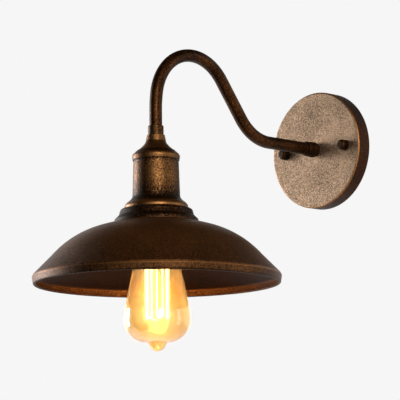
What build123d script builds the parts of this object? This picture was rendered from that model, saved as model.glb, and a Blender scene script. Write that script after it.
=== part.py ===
"""Gooseneck wall sconce: a round wall plate, a bent tube arm, a bell-shaped lamp cup,
a shallow dome shade and a teardrop filament bulb.

Frame: the wall is the plane y = 0 and the room lies towards -Y. +Z is up. The origin is the
centre of the wall plate's back rim. The arm lies in the plane x = 0.
"""

from build123d import *
import os
from math import cos, pi, radians, sin, sqrt, tan

# ---------------------------------------------------------------- driving dimensions, mm and degrees
# wall plate and what fastens it
plate_r = 60.0
plate_depth = 16.0
plate_wall = 1.2
plate_edge_r = 1.8

stud_margin = 19.0  # plate edge to a stud's middle
strap_end = 8.0  # strap past the stud's middle
strap_width = 24.0
strap_thickness = 2.0
strap_step = 4.0  # how far the strap's ends stand off the wall
strap_step_angle = 60.0
strap_corner_r = 4.0
strap_step_start = 7.0  # stud's middle to the end of the part that lies on the wall
cable_hole_r = 7.0
wall_slot_margin = 15.0  # stud's middle to the slot's middle
wall_slot_length = 14.0
wall_slot_width = 5.0

stud_r = 2.0
stud_head_r = 3.8
stud_head_height = 2.3
stud_tip = 5.0  # how far the stud reaches into its cap nut
lock_nut_flats = 7.0
lock_nut_height = 3.2

nut_r = 5.2
nut_length = 7.4
nut_back_length = 3.0
nut_groove_depth = 0.6
nut_groove_width = 0.8
nut_dome_r = 2.6
nut_end_wall = 2.0
nut_washer_r = 5.5
nut_washer_thickness = 0.8

earth_screw_x = -12.0
earth_screw_z = -7.0
earth_lug_length = 6.0
earth_lug_thickness = 0.8

# arm
tube_r = 6.25
tube_wall = 1.2
reach = 244.0  # wall to lamp axis
bend_r = 50.4
rise_angle = 52.2
rise_run = 44.8  # straight tube between the two bends
drop_lean = 10.0  # the last of the upper bend, on an easier radius
drop_curve_r = 108.0
tube_insert = 5.5  # how deep the tube sits in the collar and in the ferrule

collar_length = 15.0
collar_foot_r = 6.7
collar_foot_length = 2.2
collar_ring_r = 8.0
collar_ring_length = 6.0
collar_groove_width = 1.0
collar_groove_depth = 0.9
collar_bead_r = 7.6
collar_bead_round = 1.1

nipple_r = 5.0
nipple_bore_r = 3.5
locknut_flats = 14.0
locknut_height = 3.5
washer_r = 8.0
washer_thickness = 1.0
plate_nipple_end = 1.0  # thread left standing past the locknut
bushing_flange_r = 4.6
bushing_flange = 0.8
bushing_wall = 0.5
bushing_length = 4.0

# lamp cup, measured down the lamp axis from the arm's height at the wall
ferrule_top = 1.5
ferrule_length = 9.35
ferrule_outer_r = 7.6
ferrule_edge = 0.6
cup_length = 72.15
cup_wall = 1.4
neck_top_r = 8.7
neck_bottom_r = 9.9
neck_length = 5.95
neck_step = 0.6
cone_top_r = 10.5
cone_top_slope = 0.45  # outwards for each mm down
cone_bead_slope = 1.14
cone_bead_r = 17.6
cone_bead_drop = 14.95  # cup top to the fine line round the cone
cone_bead = 0.5
shoulder_r = 23.2
shoulder_top_drop = 18.75
shoulder_band = 6.2
shoulder_step = 0.9
body_top_r = 22.0
body_bottom_r = 23.0
body_bottom_drop = 58.65
skirt_r = 30.8
skirt_band = 2.6
skirt_slope = 0.35

# lamp holder
mouth_drop = 103.0  # arm height to the holder's mouth
thread_r = 19.6
skirt_wall = 3.2
holder_wall = 2.0
mouth_lip_r = 14.9
mouth_lip = 1.8
shell_length = 41.0
insert_height = 11.5
insert_seat = 0.1
insert_barrier_width = 1.6
insert_barrier_depth = 4.0
cap_spigot = 5.0
cap_height = 20.0
cap_boss_r = 9.0
cap_boss_height = 1.6
cap_dome_r = 10.0
cap_hollow_r = 5.3
cap_thread_length = 8.0
grub_r = 1.5
screw_shell_r = 13.4
screw_shell_wall = 0.5
screw_shell_flange = 3.0
terminal_x = 9.0
terminal_size = 8.0
terminal_height = 6.0
terminal_wire_depth = 4.8
terminal_foot = 1.0
terminal_screw_r = 1.5
terminal_head_r = 2.6
terminal_head = 1.6
rivet_r = 1.2
leaf_width = 6.0
leaf_thickness = 0.5
contact_pocket_r = 8.2
contact_pocket = 3.4
bulb_contact_rise = 0.1  # the bulb's tip contact above the insert's lower face

# shade
shade_r = 120.0
shade_height = 72.9
shade_wall = 1.2
crown_r = 32.0
crown_corner_r = 3.4
crown_corner_turn = 84.0
crown_height = 6.5
crown_bottom_r = 36.4
crown_flare_r = 40.3  # flared foot of the crown
crown_flare_height = 3.7
crown_step = 3.0  # its edge, down to the dome
crown_step_r = 40.9
dome_slope = 15.5
dome_start_r = 56.0
dome_curve_r = 94.0
dome_turn = 33.5
rim_band = 7.2
rim_taper = 0.9
rim_wire_r = 1.3
rim_corner_r = 2.0

ring_flange_r = 27.0
ring_flange = 1.8
ring_collar_r = 22.6
ring_height = 8.0
ring_grips = 16
ring_grip_r = 1.3

# bulb, a 64 mm teardrop with a 26 mm screw cap
bulb_r = 32.0
bulb_length = 142.0
bulb_widest = 30.5  # from the tip
bulb_shoulder_r = 22.0
bulb_tip_r = 9.4
bulb_tip_slope = 0.5  # inwards for each mm down, where the tip starts
bulb_neck_r = 17.0
bulb_neck_curve = 7.0
bulb_cone_r = 28.8
bulb_cone_height = 52.5
bulb_glass_wall = 0.9
cap_shell_r = 13.1
cap_shell_wall = 0.4
cap_shell_length = 21.5
cap_flare_r = 13.6
cap_flare_height = 2.0
cap_glass_length = 4.6
cap_glass_small_r = 5.4
cap_contact_r = 4.6
cap_contact_height = 1.0
cap_contact_round = 0.9
cap_glass_large_r = 10.6
cap_glass_plug = 2.0
cap_glass_grip = 4.0  # glass neck inside the cap

stem_tube_r = 3.2
stem_wall = 0.8
stem_height = 28.0
press_height = 8.0
press_width = 12.0
press_thickness = 4.0
rod_r = 1.2
rod_length = 52.0
rod_bead_r = 2.2
cage_r = 10.5
cage_places = 12
cage_bars = 10
hook_wire_r = 0.3
hook_overhang = 1.2
filament_wire_r = 0.4
lead_in_r = 0.35

# leads and the terminal block behind the plate
lead_r = 1.0
lead_gap = 0.5
lead_bend_r = 4.0
lead_drop = 10.0  # straight fall behind the plate
block_pitch = 8.0
block_height = 12.0
block_depth = 10.0
block_top = 28.0  # plate centre to the block's top
block_side = 2.0
block_tube_r = 2.2
block_bore_r = 1.4
block_screw_r = 1.4
block_screw_sink = 1.0

# clearances
running_fit = 0.05  # a thread or shaft in its hole, on the radius
moving_gap = 0.3  # other faces of pieces that move past each other
seat_fit = 0.05  # a fixed piece in its seat, on the radius
stud_play = 0.3
face_gap = 0.1  # flat faces that slide on each other

# ---------------------------------------------------------------- derived places
lamp_section = Plane.XZ.offset(reach)  # local x is the radius from the lamp axis, local y is z
lamp_axis = Axis((0, -reach, 0), (0, 0, 1))

ferrule_bottom_z = -ferrule_top - ferrule_length
cup_top_z = ferrule_bottom_z
cup_bottom_z = cup_top_z - cup_length
shade_bottom_z = cup_bottom_z - shade_height
mouth_z = -mouth_drop
shell_top_z = mouth_z + shell_length
cap_top_z = shell_top_z + cap_height
thread_bore_r = thread_r - skirt_wall
holder_bore_r = thread_r - holder_wall
cap_spigot_z = shell_top_z - cap_spigot
insert_top_z = cap_spigot_z - insert_seat
insert_bottom_z = insert_top_z - insert_height
bulb_contact_z = insert_bottom_z + bulb_contact_rise
bulb_tip_z = bulb_contact_z - bulb_length
leaf_bottom_z = bulb_contact_z + moving_gap
cap_glass_top_z = bulb_contact_z - cap_contact_height
cap_shell_top_z = cap_glass_top_z - cap_glass_length
cap_shell_bottom_z = cap_shell_top_z - cap_shell_length
bulb_widest_z = bulb_tip_z + bulb_widest

plate_inside = plate_depth - plate_wall  # wall to the inner face of the plate
collar_tip = plate_depth + collar_length
tube_start = collar_tip - tube_insert
tube_end_z = -ferrule_top - tube_insert
plate_washer_end = plate_inside - washer_thickness
plate_locknut_end = plate_washer_end - locknut_height
plate_nipple_tip = plate_locknut_end - plate_nipple_end
strap_end_front = strap_step + strap_thickness

stud_x = plate_r - stud_margin
strap_half_length = stud_x + strap_end
strap_flat_half = stud_x - strap_step_start
wall_slot_x = stud_x - wall_slot_margin

pieces = []


def keep(builder, name):
    """Name a finished piece and put it on the list to be written."""
    builder.part.label = name
    pieces.append(builder.part)


def arm_centreline(side, start, end_z):
    """The gooseneck's centre line in the plane x = side, from y = -start to z = end_z."""
    plane = Plane.YZ.offset(side)
    climb = radians(rise_angle)
    lean = radians(drop_lean)
    upper_run = bend_r * (sin(climb) + cos(lean)) + drop_curve_r * (1 - cos(lean))
    level_end = reach - bend_r * sin(climb) - rise_run * cos(climb) - upper_run
    with BuildLine(plane) as line:
        level = Line((-start, 0), (-level_end, 0))
        lower_bend = JernArc(level @ 1, (-1, 0), bend_r, -rise_angle)
        rise_end = (
            (lower_bend @ 1).Y - rise_run * cos(climb),
            (lower_bend @ 1).Z + rise_run * sin(climb),
        )
        rise = Line(((lower_bend @ 1).Y, (lower_bend @ 1).Z), rise_end)
        upper_turn = 90 + rise_angle - drop_lean
        upper_bend = JernArc(rise_end, (-cos(climb), sin(climb)), bend_r, upper_turn)
        upper_end = ((upper_bend @ 1).Y, (upper_bend @ 1).Z)
        drop_bend = JernArc(upper_end, (-sin(lean), -cos(lean)), drop_curve_r, drop_lean)
        Line(((drop_bend @ 1).Y, (drop_bend @ 1).Z), (-reach, end_z))
    return line


# ---------------------------------------------------------------- wall plate
with BuildPart() as wall_plate:
    with BuildSketch(Plane.XY):
        with BuildLine():
            Polyline(
                (0, -plate_depth),
                (plate_r, -plate_depth),
                (plate_r, 0),
                (plate_r - plate_wall, 0),
                (plate_r - plate_wall, -plate_inside),
                (0, -plate_inside),
                close=True,
            )
        make_face()
        fillet(vertices().group_by(Axis.Y)[0].sort_by(Axis.X)[-1], plate_edge_r)
        inner_corner = vertices().sort_by_distance((plate_r - plate_wall, -plate_inside))[0]
        fillet(inner_corner, plate_edge_r - plate_wall)
    revolve(axis=Axis.Y)
    with BuildSketch(Plane.XZ):
        Circle(nipple_r + seat_fit)
        with Locations((-stud_x, 0), (stud_x, 0)):
            Circle(stud_r + stud_play)
    extrude(amount=plate_depth, mode=Mode.SUBTRACT)
keep(wall_plate, "wall_plate")

# ---------------------------------------------------------------- fixing strap on the wall
step_run = strap_step / tan(radians(strap_step_angle))
bend_shift = strap_thickness * tan(radians(strap_step_angle / 2))
with BuildPart() as fixing_strap:
    with BuildSketch(Plane.XY):
        with BuildLine():
            Polyline(
                (-strap_half_length, -strap_step),
                (-strap_flat_half - step_run, -strap_step),
                (-strap_flat_half, 0),
                (strap_flat_half, 0),
                (strap_flat_half + step_run, -strap_step),
                (strap_half_length, -strap_step),
                (strap_half_length, -strap_end_front),
                (strap_flat_half + step_run - bend_shift, -strap_end_front),
                (strap_flat_half - bend_shift, -strap_thickness),
                (bend_shift - strap_flat_half, -strap_thickness),
                (bend_shift - strap_flat_half - step_run, -strap_end_front),
                (-strap_half_length, -strap_end_front),
                close=True,
            )
        make_face()
    extrude(amount=strap_width / 2, both=True)
    end_edges = edges().filter_by(Axis.Y).filter_by(lambda e: abs(e.center().X) > stud_x)
    fillet(end_edges, strap_corner_r)
    with BuildSketch(Plane.XZ):
        Circle(cable_hole_r)
        with Locations((-wall_slot_x, 0), (wall_slot_x, 0)):
            SlotOverall(wall_slot_length, wall_slot_width)
        with Locations((-stud_x, 0), (stud_x, 0), (earth_screw_x, earth_screw_z)):
            Circle(stud_r + seat_fit)
    extrude(amount=strap_end_front, mode=Mode.SUBTRACT)
keep(fixing_strap, "fixing_strap")

stud_end = plate_depth + nut_washer_thickness + stud_tip
with BuildPart() as plate_studs:
    with BuildSketch(Plane(origin=(stud_x, 0, 0))):
        with BuildLine():
            Polyline(
                (0, stud_head_height - strap_step),
                (stud_head_r, stud_head_height - strap_step),
                (stud_head_r, -strap_step),
                (stud_r, -strap_step),
                (stud_r, -stud_end),
                (0, -stud_end),
                close=True,
            )
        make_face()
        chamfer(vertices().group_by(Axis.Y)[0].sort_by(Axis.X)[-1], stud_r / 5)
        fillet(vertices().group_by(Axis.Y)[-1].sort_by(Axis.X)[-1], stud_head_height / 3)
    revolve(axis=Axis((stud_x, 0, 0), (0, 1, 0)))
    mirror(about=Plane.YZ)
keep(plate_studs, "plate_studs")

with BuildPart() as stud_lock_nuts:
    with BuildSketch(Plane.XZ.offset(strap_end_front)):
        with Locations((-stud_x, 0), (stud_x, 0)):
            RegularPolygon(lock_nut_flats / 2, 6, major_radius=False)
            Circle(stud_r + seat_fit, mode=Mode.SUBTRACT)
    extrude(amount=lock_nut_height)
keep(stud_lock_nuts, "stud_lock_nuts")

# cap nuts and their washers, the same on both sides
nut_back = plate_depth + nut_washer_thickness
nut_tip = nut_back + nut_length
groove_start = nut_back + nut_back_length
groove_end = groove_start + nut_groove_width
for side, place in (("left", -stud_x), ("right", stud_x)):
    nut_section = Plane(origin=(place, 0, 0))
    nut_axis = Axis((place, 0, 0), (0, 1, 0))
    with BuildPart() as nut_washer:
        with BuildSketch(Plane.XZ.offset(plate_depth)):
            with Locations((place, 0)):
                Circle(nut_washer_r)
                Circle(stud_r + stud_play, mode=Mode.SUBTRACT)
        extrude(amount=nut_washer_thickness)
    keep(nut_washer, f"{side}_nut_washer")

    with BuildPart() as cap_nut:
        with BuildSketch(nut_section):
            with BuildLine():
                Polyline(
                    (stud_r + running_fit, -nut_back),
                    (nut_r, -nut_back),
                    (nut_r, -groove_start),
                    (nut_r - nut_groove_depth, -groove_start),
                    (nut_r - nut_groove_depth, -groove_end),
                    (nut_r, -groove_end),
                    (nut_r, -nut_tip),
                    (0, -nut_tip),
                    (0, -nut_tip + nut_end_wall),
                    (stud_r + running_fit, -nut_tip + nut_end_wall),
                    close=True,
                )
            make_face()
            fillet(vertices().group_by(Axis.Y)[0].sort_by(Axis.X)[-1], nut_dome_r)
            back_corner = vertices().group_by(Axis.Y)[-1].sort_by(Axis.X)[-1]
            fillet(back_corner, nut_groove_depth / 2)
        revolve(axis=nut_axis)
    keep(cap_nut, f"{side}_cap_nut")

# earth screw with its ring lug on the strap
with BuildPart() as earth_screw:
    with BuildSketch(Plane.XZ.offset(strap_thickness + earth_lug_thickness)):
        with Locations((earth_screw_x, earth_screw_z)):
            Circle(stud_head_r)
    extrude(amount=stud_head_height)
    with BuildSketch(Plane.XZ):
        with Locations((earth_screw_x, earth_screw_z)):
            Circle(stud_r)
    extrude(amount=strap_thickness + earth_lug_thickness)
    head_face = faces().sort_by(Axis.Y)[0]
    fillet(head_face.edges(), stud_head_height / 3)
    slot_plane = Plane.XZ.offset(strap_thickness + earth_lug_thickness + stud_head_height)
    with BuildSketch(slot_plane):
        with Locations((earth_screw_x, earth_screw_z)):
            Rectangle(2 * stud_head_r, stud_head_r / 4)
            Rectangle(stud_head_r / 4, 2 * stud_head_r)
    extrude(amount=-stud_head_height / 2, mode=Mode.SUBTRACT)
keep(earth_screw, "earth_screw")

lug_mouth_z = earth_screw_z - stud_head_r - earth_lug_length
lug_barrel_y = -strap_thickness - earth_lug_thickness / 2 - lead_r
with BuildPart() as earth_lug:
    with BuildSketch(Plane.XZ.offset(strap_thickness)):
        with Locations((earth_screw_x, earth_screw_z)):
            Circle(stud_head_r)
            Circle(stud_r + seat_fit, mode=Mode.SUBTRACT)
        with Locations((earth_screw_x, lug_mouth_z)):
            Rectangle(2 * lead_r, stud_head_r + earth_lug_length, align=(Align.CENTER, Align.MIN))
    extrude(amount=earth_lug_thickness)
    with BuildSketch(Plane.XZ.offset(strap_thickness)):
        with Locations((earth_screw_x, earth_screw_z)):
            Circle(stud_r + seat_fit)
    extrude(amount=earth_lug_thickness, mode=Mode.SUBTRACT)
    with BuildSketch(Plane.XY.offset(lug_mouth_z)):
        with Locations((earth_screw_x, lug_barrel_y)):
            Circle(lead_r + earth_lug_thickness / 2)
    extrude(amount=earth_lug_length / 2)
    with BuildSketch(Plane.XY.offset(lug_mouth_z)):
        with Locations((earth_screw_x, lug_barrel_y)):
            Circle(lead_r + seat_fit)
    extrude(amount=earth_lug_length / 2, mode=Mode.SUBTRACT)
keep(earth_lug, "earth_lug")

# ---------------------------------------------------------------- arm
with BuildPart() as arm_collar:
    ring_start = plate_depth + collar_foot_length
    ring_end = ring_start + collar_ring_length
    bead_start = ring_end + collar_groove_width
    with BuildSketch(Plane.XY):
        with BuildLine():
            Polyline(
                (nipple_r + seat_fit, -plate_depth),
                (collar_foot_r, -plate_depth),
                (collar_foot_r, -ring_start),
                (collar_ring_r, -ring_start),
                (collar_ring_r, -ring_end),
                (collar_ring_r - collar_groove_depth, -ring_end),
                (collar_ring_r - collar_groove_depth, -bead_start),
                (collar_bead_r, -bead_start),
                (collar_bead_r, -collar_tip),
                (tube_r + seat_fit, -collar_tip),
                (tube_r + seat_fit, -tube_start),
                (nipple_r + seat_fit, -tube_start),
                close=True,
            )
        make_face()
        ring_back = vertices().sort_by_distance((collar_ring_r, -ring_start))[0]
        fillet(ring_back, collar_ring_r - collar_foot_r)
        ring_front = vertices().sort_by_distance((collar_ring_r, -ring_end))[0]
        fillet(ring_front, collar_groove_depth / 2)
        bead_front = vertices().sort_by_distance((collar_bead_r, -collar_tip))[0]
        fillet(bead_front, collar_bead_round)
    revolve(axis=Axis.Y)
keep(arm_collar, "arm_collar")

with BuildPart() as gooseneck_arm:
    centreline = arm_centreline(0, tube_start, tube_end_z)
    with BuildSketch(Plane.XZ.offset(tube_start)):
        Circle(tube_r)
        Circle(tube_r - tube_wall, mode=Mode.SUBTRACT)
    sweep(path=centreline.wires()[0])
keep(gooseneck_arm, "gooseneck_arm")
tube_area = pi * (tube_r**2 - (tube_r - tube_wall) ** 2)
tube_length = centreline.wires()[0].length
print("arm tube volume over section times length:", gooseneck_arm.part.volume / tube_area / tube_length)

with BuildPart() as arm_nipple:
    with BuildSketch(Plane.XZ.offset(plate_nipple_tip)):
        Circle(nipple_r)
        Circle(nipple_bore_r, mode=Mode.SUBTRACT)
    extrude(amount=tube_start - plate_nipple_tip)
keep(arm_nipple, "arm_nipple")

with BuildPart() as arm_washer:
    with BuildSketch(Plane.XZ.offset(plate_washer_end)):
        Circle(washer_r)
        Circle(nipple_r + seat_fit, mode=Mode.SUBTRACT)
    extrude(amount=washer_thickness)
keep(arm_washer, "arm_washer")

with BuildPart() as arm_locknut:
    with BuildSketch(Plane.XZ.offset(plate_locknut_end)):
        RegularPolygon(locknut_flats / 2, 6, major_radius=False)
        Circle(nipple_r + seat_fit, mode=Mode.SUBTRACT)
    extrude(amount=locknut_height)
keep(arm_locknut, "arm_locknut")

# plastic bushing that keeps the leads off the nipple's edge
with BuildPart() as lead_bushing:
    with BuildSketch(Plane.XZ.offset(plate_nipple_tip - bushing_flange)):
        Circle(bushing_flange_r)
        Circle(nipple_bore_r - bushing_wall, mode=Mode.SUBTRACT)
    extrude(amount=bushing_flange)
    with BuildSketch(Plane.XZ.offset(plate_nipple_tip)):
        Circle(nipple_bore_r - seat_fit)
        Circle(nipple_bore_r - bushing_wall, mode=Mode.SUBTRACT)
    extrude(amount=bushing_length)
keep(lead_bushing, "lead_bushing")

# ---------------------------------------------------------------- lamp cup
with BuildPart() as arm_ferrule:
    with BuildSketch(lamp_section):
        with BuildLine():
            Polyline(
                (tube_r + seat_fit, -ferrule_top),
                (ferrule_outer_r, -ferrule_top),
                (ferrule_outer_r, ferrule_bottom_z),
                (nipple_r + seat_fit, ferrule_bottom_z),
                (nipple_r + seat_fit, tube_end_z),
                (tube_r + seat_fit, tube_end_z),
                close=True,
            )
        make_face()
        chamfer(vertices().group_by(Axis.X)[-1], ferrule_edge)
    revolve(axis=lamp_axis)
keep(arm_ferrule, "arm_ferrule")

neck_z = cup_top_z - neck_length
bead_z = cup_top_z - cone_bead_drop
shoulder_z = cup_top_z - shoulder_top_drop
band_z = shoulder_z - shoulder_band
body_z = cup_top_z - body_bottom_drop
ceiling_z = neck_z - neck_step - 2 * cup_wall
locknut_space_r = locknut_flats / 2 / cos(pi / 6) + 2 * moving_gap
with BuildPart() as lamp_cup:
    # outside: tapered neck, hollow cone, shoulder band, plain body and flared foot
    with BuildSketch(lamp_section):
        with BuildLine():
            Line((0, cup_top_z), (neck_top_r, cup_top_z))
            Line((neck_top_r, cup_top_z), (neck_bottom_r, neck_z))
            Line((neck_bottom_r, neck_z), (neck_bottom_r - neck_step, neck_z))
            throat_end = (cone_top_r - neck_step, neck_z - neck_step)
            Line((neck_bottom_r - neck_step, neck_z), throat_end)
            throat = Spline(
                throat_end,
                (cone_bead_r, bead_z),
                tangents=((cone_top_slope, -1), (cone_bead_slope, -1)),
            )
            Line(throat @ 1, (cone_bead_r + cone_bead, bead_z))
            cone = Line(
                (cone_bead_r + cone_bead, bead_z),
                (shoulder_r - 2 * cone_bead, shoulder_z),
            )
            shoulder = Spline(
                cone @ 1,
                (shoulder_r, shoulder_z - shoulder_band / 2),
                tangents=(cone % 1, (0, -1)),
            )
            Line(shoulder @ 1, (shoulder_r - cone_bead, band_z))
            Line((shoulder_r - cone_bead, band_z), (body_top_r, band_z - shoulder_step / 2))
            body = Line((body_top_r, band_z - shoulder_step / 2), (body_bottom_r, body_z))
            foot = Spline(
                body @ 1,
                (skirt_r, cup_bottom_z + skirt_band),
                tangents=(body % 1, (skirt_slope, -1)),
            )
            Line(foot @ 1, (skirt_r, cup_bottom_z))
            Line((skirt_r, cup_bottom_z), (0, cup_bottom_z))
            Line((0, cup_bottom_z), (0, cup_top_z))
        make_face()
        skirt_corner = vertices().sort_by_distance((skirt_r, cup_bottom_z))[0]
        fillet(skirt_corner, skirt_band / 4)
    revolve(axis=lamp_axis)
    # inside: a flat ceiling for the locknut, then the wall's thickness inside the outline
    with BuildSketch(lamp_section):
        with BuildLine():
            Polyline(
                (0, ceiling_z),
                (locknut_space_r, ceiling_z),
                (cone_bead_r - cup_wall, bead_z - cup_wall),
                (body_top_r - cup_wall, shoulder_z - cup_wall),
                (body_top_r - cup_wall, band_z),
                (body_bottom_r - cup_wall, body_z),
                (skirt_r - 2 * cup_wall, cup_bottom_z),
                (0, cup_bottom_z),
                close=True,
            )
        make_face()
        foot_corner = vertices().sort_by_distance((body_bottom_r - cup_wall, body_z))[0]
        fillet(foot_corner, 2 * cup_wall)
    revolve(axis=lamp_axis, mode=Mode.SUBTRACT)
    with BuildSketch(Plane.XY.offset(cup_top_z)):
        with Locations((0, -reach)):
            Circle(nipple_r + seat_fit)
    extrude(amount=ceiling_z - cup_top_z, mode=Mode.SUBTRACT)
keep(lamp_cup, "lamp_cup")

cup_washer_z = ceiling_z - washer_thickness
cap_locknut_z = cap_top_z + locknut_height
with BuildPart() as cup_nipple:
    with BuildSketch(Plane.XY.offset(tube_end_z)):
        with Locations((0, -reach)):
            Circle(nipple_r)
            Circle(nipple_bore_r, mode=Mode.SUBTRACT)
    extrude(amount=cap_top_z - cap_thread_length - tube_end_z)
keep(cup_nipple, "cup_nipple")

with BuildPart() as cup_washer:
    with BuildSketch(Plane.XY.offset(ceiling_z)):
        with Locations((0, -reach)):
            Circle(washer_r)
            Circle(nipple_r + seat_fit, mode=Mode.SUBTRACT)
    extrude(amount=-washer_thickness)
keep(cup_washer, "cup_washer")

for name, top_z in (("cup_locknut", cup_washer_z), ("holder_locknut", cap_locknut_z)):
    with BuildPart() as nipple_locknut:
        with BuildSketch(Plane.XY.offset(top_z)):
            with Locations((0, -reach)):
                RegularPolygon(locknut_flats / 2, 6, major_radius=False)
                Circle(nipple_r + seat_fit, mode=Mode.SUBTRACT)
        extrude(amount=-locknut_height)
    keep(nipple_locknut, name)

# ---------------------------------------------------------------- lamp holder
inner_z = cap_top_z - cap_boss_height - holder_wall
grub_z = inner_z - 2 * grub_r
with BuildPart() as holder_cap:
    with BuildSketch(lamp_section):
        with BuildLine():
            Polyline(
                (nipple_r + seat_fit, cap_top_z),
                (cap_boss_r, cap_top_z),
                (cap_boss_r, cap_top_z - cap_boss_height),
                (thread_r, cap_top_z - cap_boss_height),
                (thread_r, shell_top_z),
                (holder_bore_r - seat_fit, shell_top_z),
                (holder_bore_r - seat_fit, cap_spigot_z),
                (holder_bore_r - holder_wall, cap_spigot_z),
                (holder_bore_r - holder_wall, inner_z),
                (cap_boss_r, inner_z),
                (cap_boss_r, cap_top_z - cap_thread_length),
                (nipple_r + seat_fit, cap_top_z - cap_thread_length),
                close=True,
            )
        make_face()
        dome_corner = vertices().sort_by_distance((thread_r, cap_top_z - cap_boss_height))[0]
        fillet(dome_corner, cap_dome_r)
        inside = vertices().sort_by_distance((holder_bore_r - holder_wall, inner_z))[0]
        fillet(inside, cap_hollow_r)
    revolve(axis=lamp_axis)
    with BuildSketch(Plane.YZ):
        with Locations((-reach, grub_z)):
            Circle(grub_r + seat_fit)
    extrude(amount=cap_boss_r + holder_wall, mode=Mode.SUBTRACT)
keep(holder_cap, "holder_cap")

with BuildPart() as grub_screw:
    with BuildSketch(Plane.YZ.offset(nipple_r)):
        with Locations((-reach, grub_z)):
            Circle(grub_r)
            RegularPolygon(grub_r / 2, 6, mode=Mode.SUBTRACT)
    extrude(amount=cap_boss_r - nipple_r)
keep(grub_screw, "grub_screw")

with BuildPart() as holder_shell:
    with BuildSketch(lamp_section):
        with BuildLine():
            Polyline(
                (thread_r, shell_top_z),
                (thread_r, mouth_z),
                (mouth_lip_r, mouth_z),
                (mouth_lip_r, mouth_z + mouth_lip),
                (thread_bore_r, mouth_z + mouth_lip),
                (thread_bore_r, insert_bottom_z),
                (holder_bore_r, insert_bottom_z),
                (holder_bore_r, shell_top_z),
                close=True,
            )
        make_face()
        chamfer(vertices().sort_by_distance((thread_r, mouth_z))[0], mouth_lip / 2)
        fillet(vertices().sort_by_distance((mouth_lip_r, mouth_z))[0], mouth_lip / 3)
    revolve(axis=lamp_axis)
keep(holder_shell, "holder_shell")

with BuildPart() as terminal_insert:
    with BuildSketch(Plane.XY.offset(insert_bottom_z)):
        with Locations((0, -reach)):
            Circle(holder_bore_r - seat_fit)
    extrude(amount=insert_height)
    with BuildSketch(Plane.XY.offset(insert_bottom_z)):
        with Locations((0, -reach)):
            Circle(contact_pocket_r)
    extrude(amount=contact_pocket, mode=Mode.SUBTRACT)
    with BuildSketch(Plane.XY.offset(insert_top_z)):
        with Locations((0, -reach)):
            Rectangle(insert_barrier_width, 2 * thread_bore_r - 2 * holder_wall)
    extrude(amount=-insert_barrier_depth, mode=Mode.SUBTRACT)
    live_rivet_x = contact_pocket_r - 2 * rivet_r
    neutral_rivet_x = -screw_shell_r + screw_shell_flange / 2
    with BuildSketch(Plane.XY.offset(insert_bottom_z)):
        with Locations((live_rivet_x, -reach), (neutral_rivet_x, -reach)):
            Circle(rivet_r + seat_fit)
    extrude(amount=insert_height, mode=Mode.SUBTRACT)
keep(terminal_insert, "terminal_insert")

shell_seat_z = insert_bottom_z
with BuildPart() as socket_screw_shell:
    with BuildSketch(lamp_section):
        with BuildLine():
            Polyline(
                (screw_shell_r - screw_shell_flange, shell_seat_z),
                (screw_shell_r + screw_shell_wall, shell_seat_z),
                (screw_shell_r + screw_shell_wall, mouth_z + mouth_lip + moving_gap),
                (screw_shell_r, mouth_z + mouth_lip + moving_gap),
                (screw_shell_r, shell_seat_z - screw_shell_wall),
                (screw_shell_r - screw_shell_flange, shell_seat_z - screw_shell_wall),
                close=True,
            )
        make_face()
        outer_corner = vertices().group_by(Axis.Y)[-1].sort_by(Axis.X)[-1]
        fillet(outer_corner, screw_shell_wall)
    revolve(axis=lamp_axis)
keep(socket_screw_shell, "socket_screw_shell")

# the leaf that touches the bulb, and its rivet up to the live terminal
with BuildPart() as centre_contact:
    leaf_seat_z = insert_bottom_z + contact_pocket
    leaf_tip_x = -cap_contact_r / 2
    leaf_root_x = live_rivet_x + rivet_r
    with BuildSketch(lamp_section):
        with BuildLine():
            Polyline(
                (leaf_root_x, leaf_seat_z),
                (live_rivet_x - rivet_r, leaf_seat_z),
                (leaf_thickness, leaf_bottom_z + leaf_thickness),
                (leaf_tip_x, leaf_bottom_z + leaf_thickness),
                (leaf_tip_x, leaf_bottom_z),
                (0, leaf_bottom_z),
                (live_rivet_x - rivet_r, leaf_seat_z - leaf_thickness),
                (leaf_root_x, leaf_seat_z - leaf_thickness),
                close=True,
            )
        make_face()
    extrude(amount=leaf_width / 2, both=True)
    with BuildSketch(Plane.XY.offset(leaf_seat_z)):
        with Locations((live_rivet_x, -reach)):
            Circle(rivet_r)
    extrude(amount=insert_top_z - leaf_seat_z)
keep(centre_contact, "centre_contact")

with BuildPart() as neutral_rivet:
    with BuildSketch(Plane.XY.offset(shell_seat_z)):
        with Locations((neutral_rivet_x, -reach)):
            Circle(rivet_r)
    extrude(amount=insert_top_z - shell_seat_z)
keep(neutral_rivet, "neutral_rivet")

terminal_top_z = insert_top_z + terminal_foot + terminal_height
terminal_screw_z = terminal_top_z - terminal_height / 2
for name, sense in (("live_terminal", 1), ("neutral_terminal", -1)):
    with BuildPart() as terminal:
        with BuildSketch(Plane.XY.offset(insert_top_z)):
            with Locations((sense * terminal_x, -reach)):
                Rectangle(terminal_size, terminal_size)
        extrude(amount=terminal_foot + terminal_height)
        fillet(edges().filter_by(Axis.Z), terminal_foot / 2)
        with BuildSketch(Plane.XY.offset(terminal_top_z)):
            with Locations((sense * terminal_x, -reach)):
                Circle(lead_r + running_fit)
        extrude(amount=-terminal_wire_depth, mode=Mode.SUBTRACT)
        with BuildSketch(Plane.YZ.offset(sense * terminal_x)):
            with Locations((-reach, terminal_screw_z)):
                Circle(terminal_screw_r + seat_fit)
        extrude(amount=sense * terminal_size, mode=Mode.SUBTRACT)
    keep(terminal, name)

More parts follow.
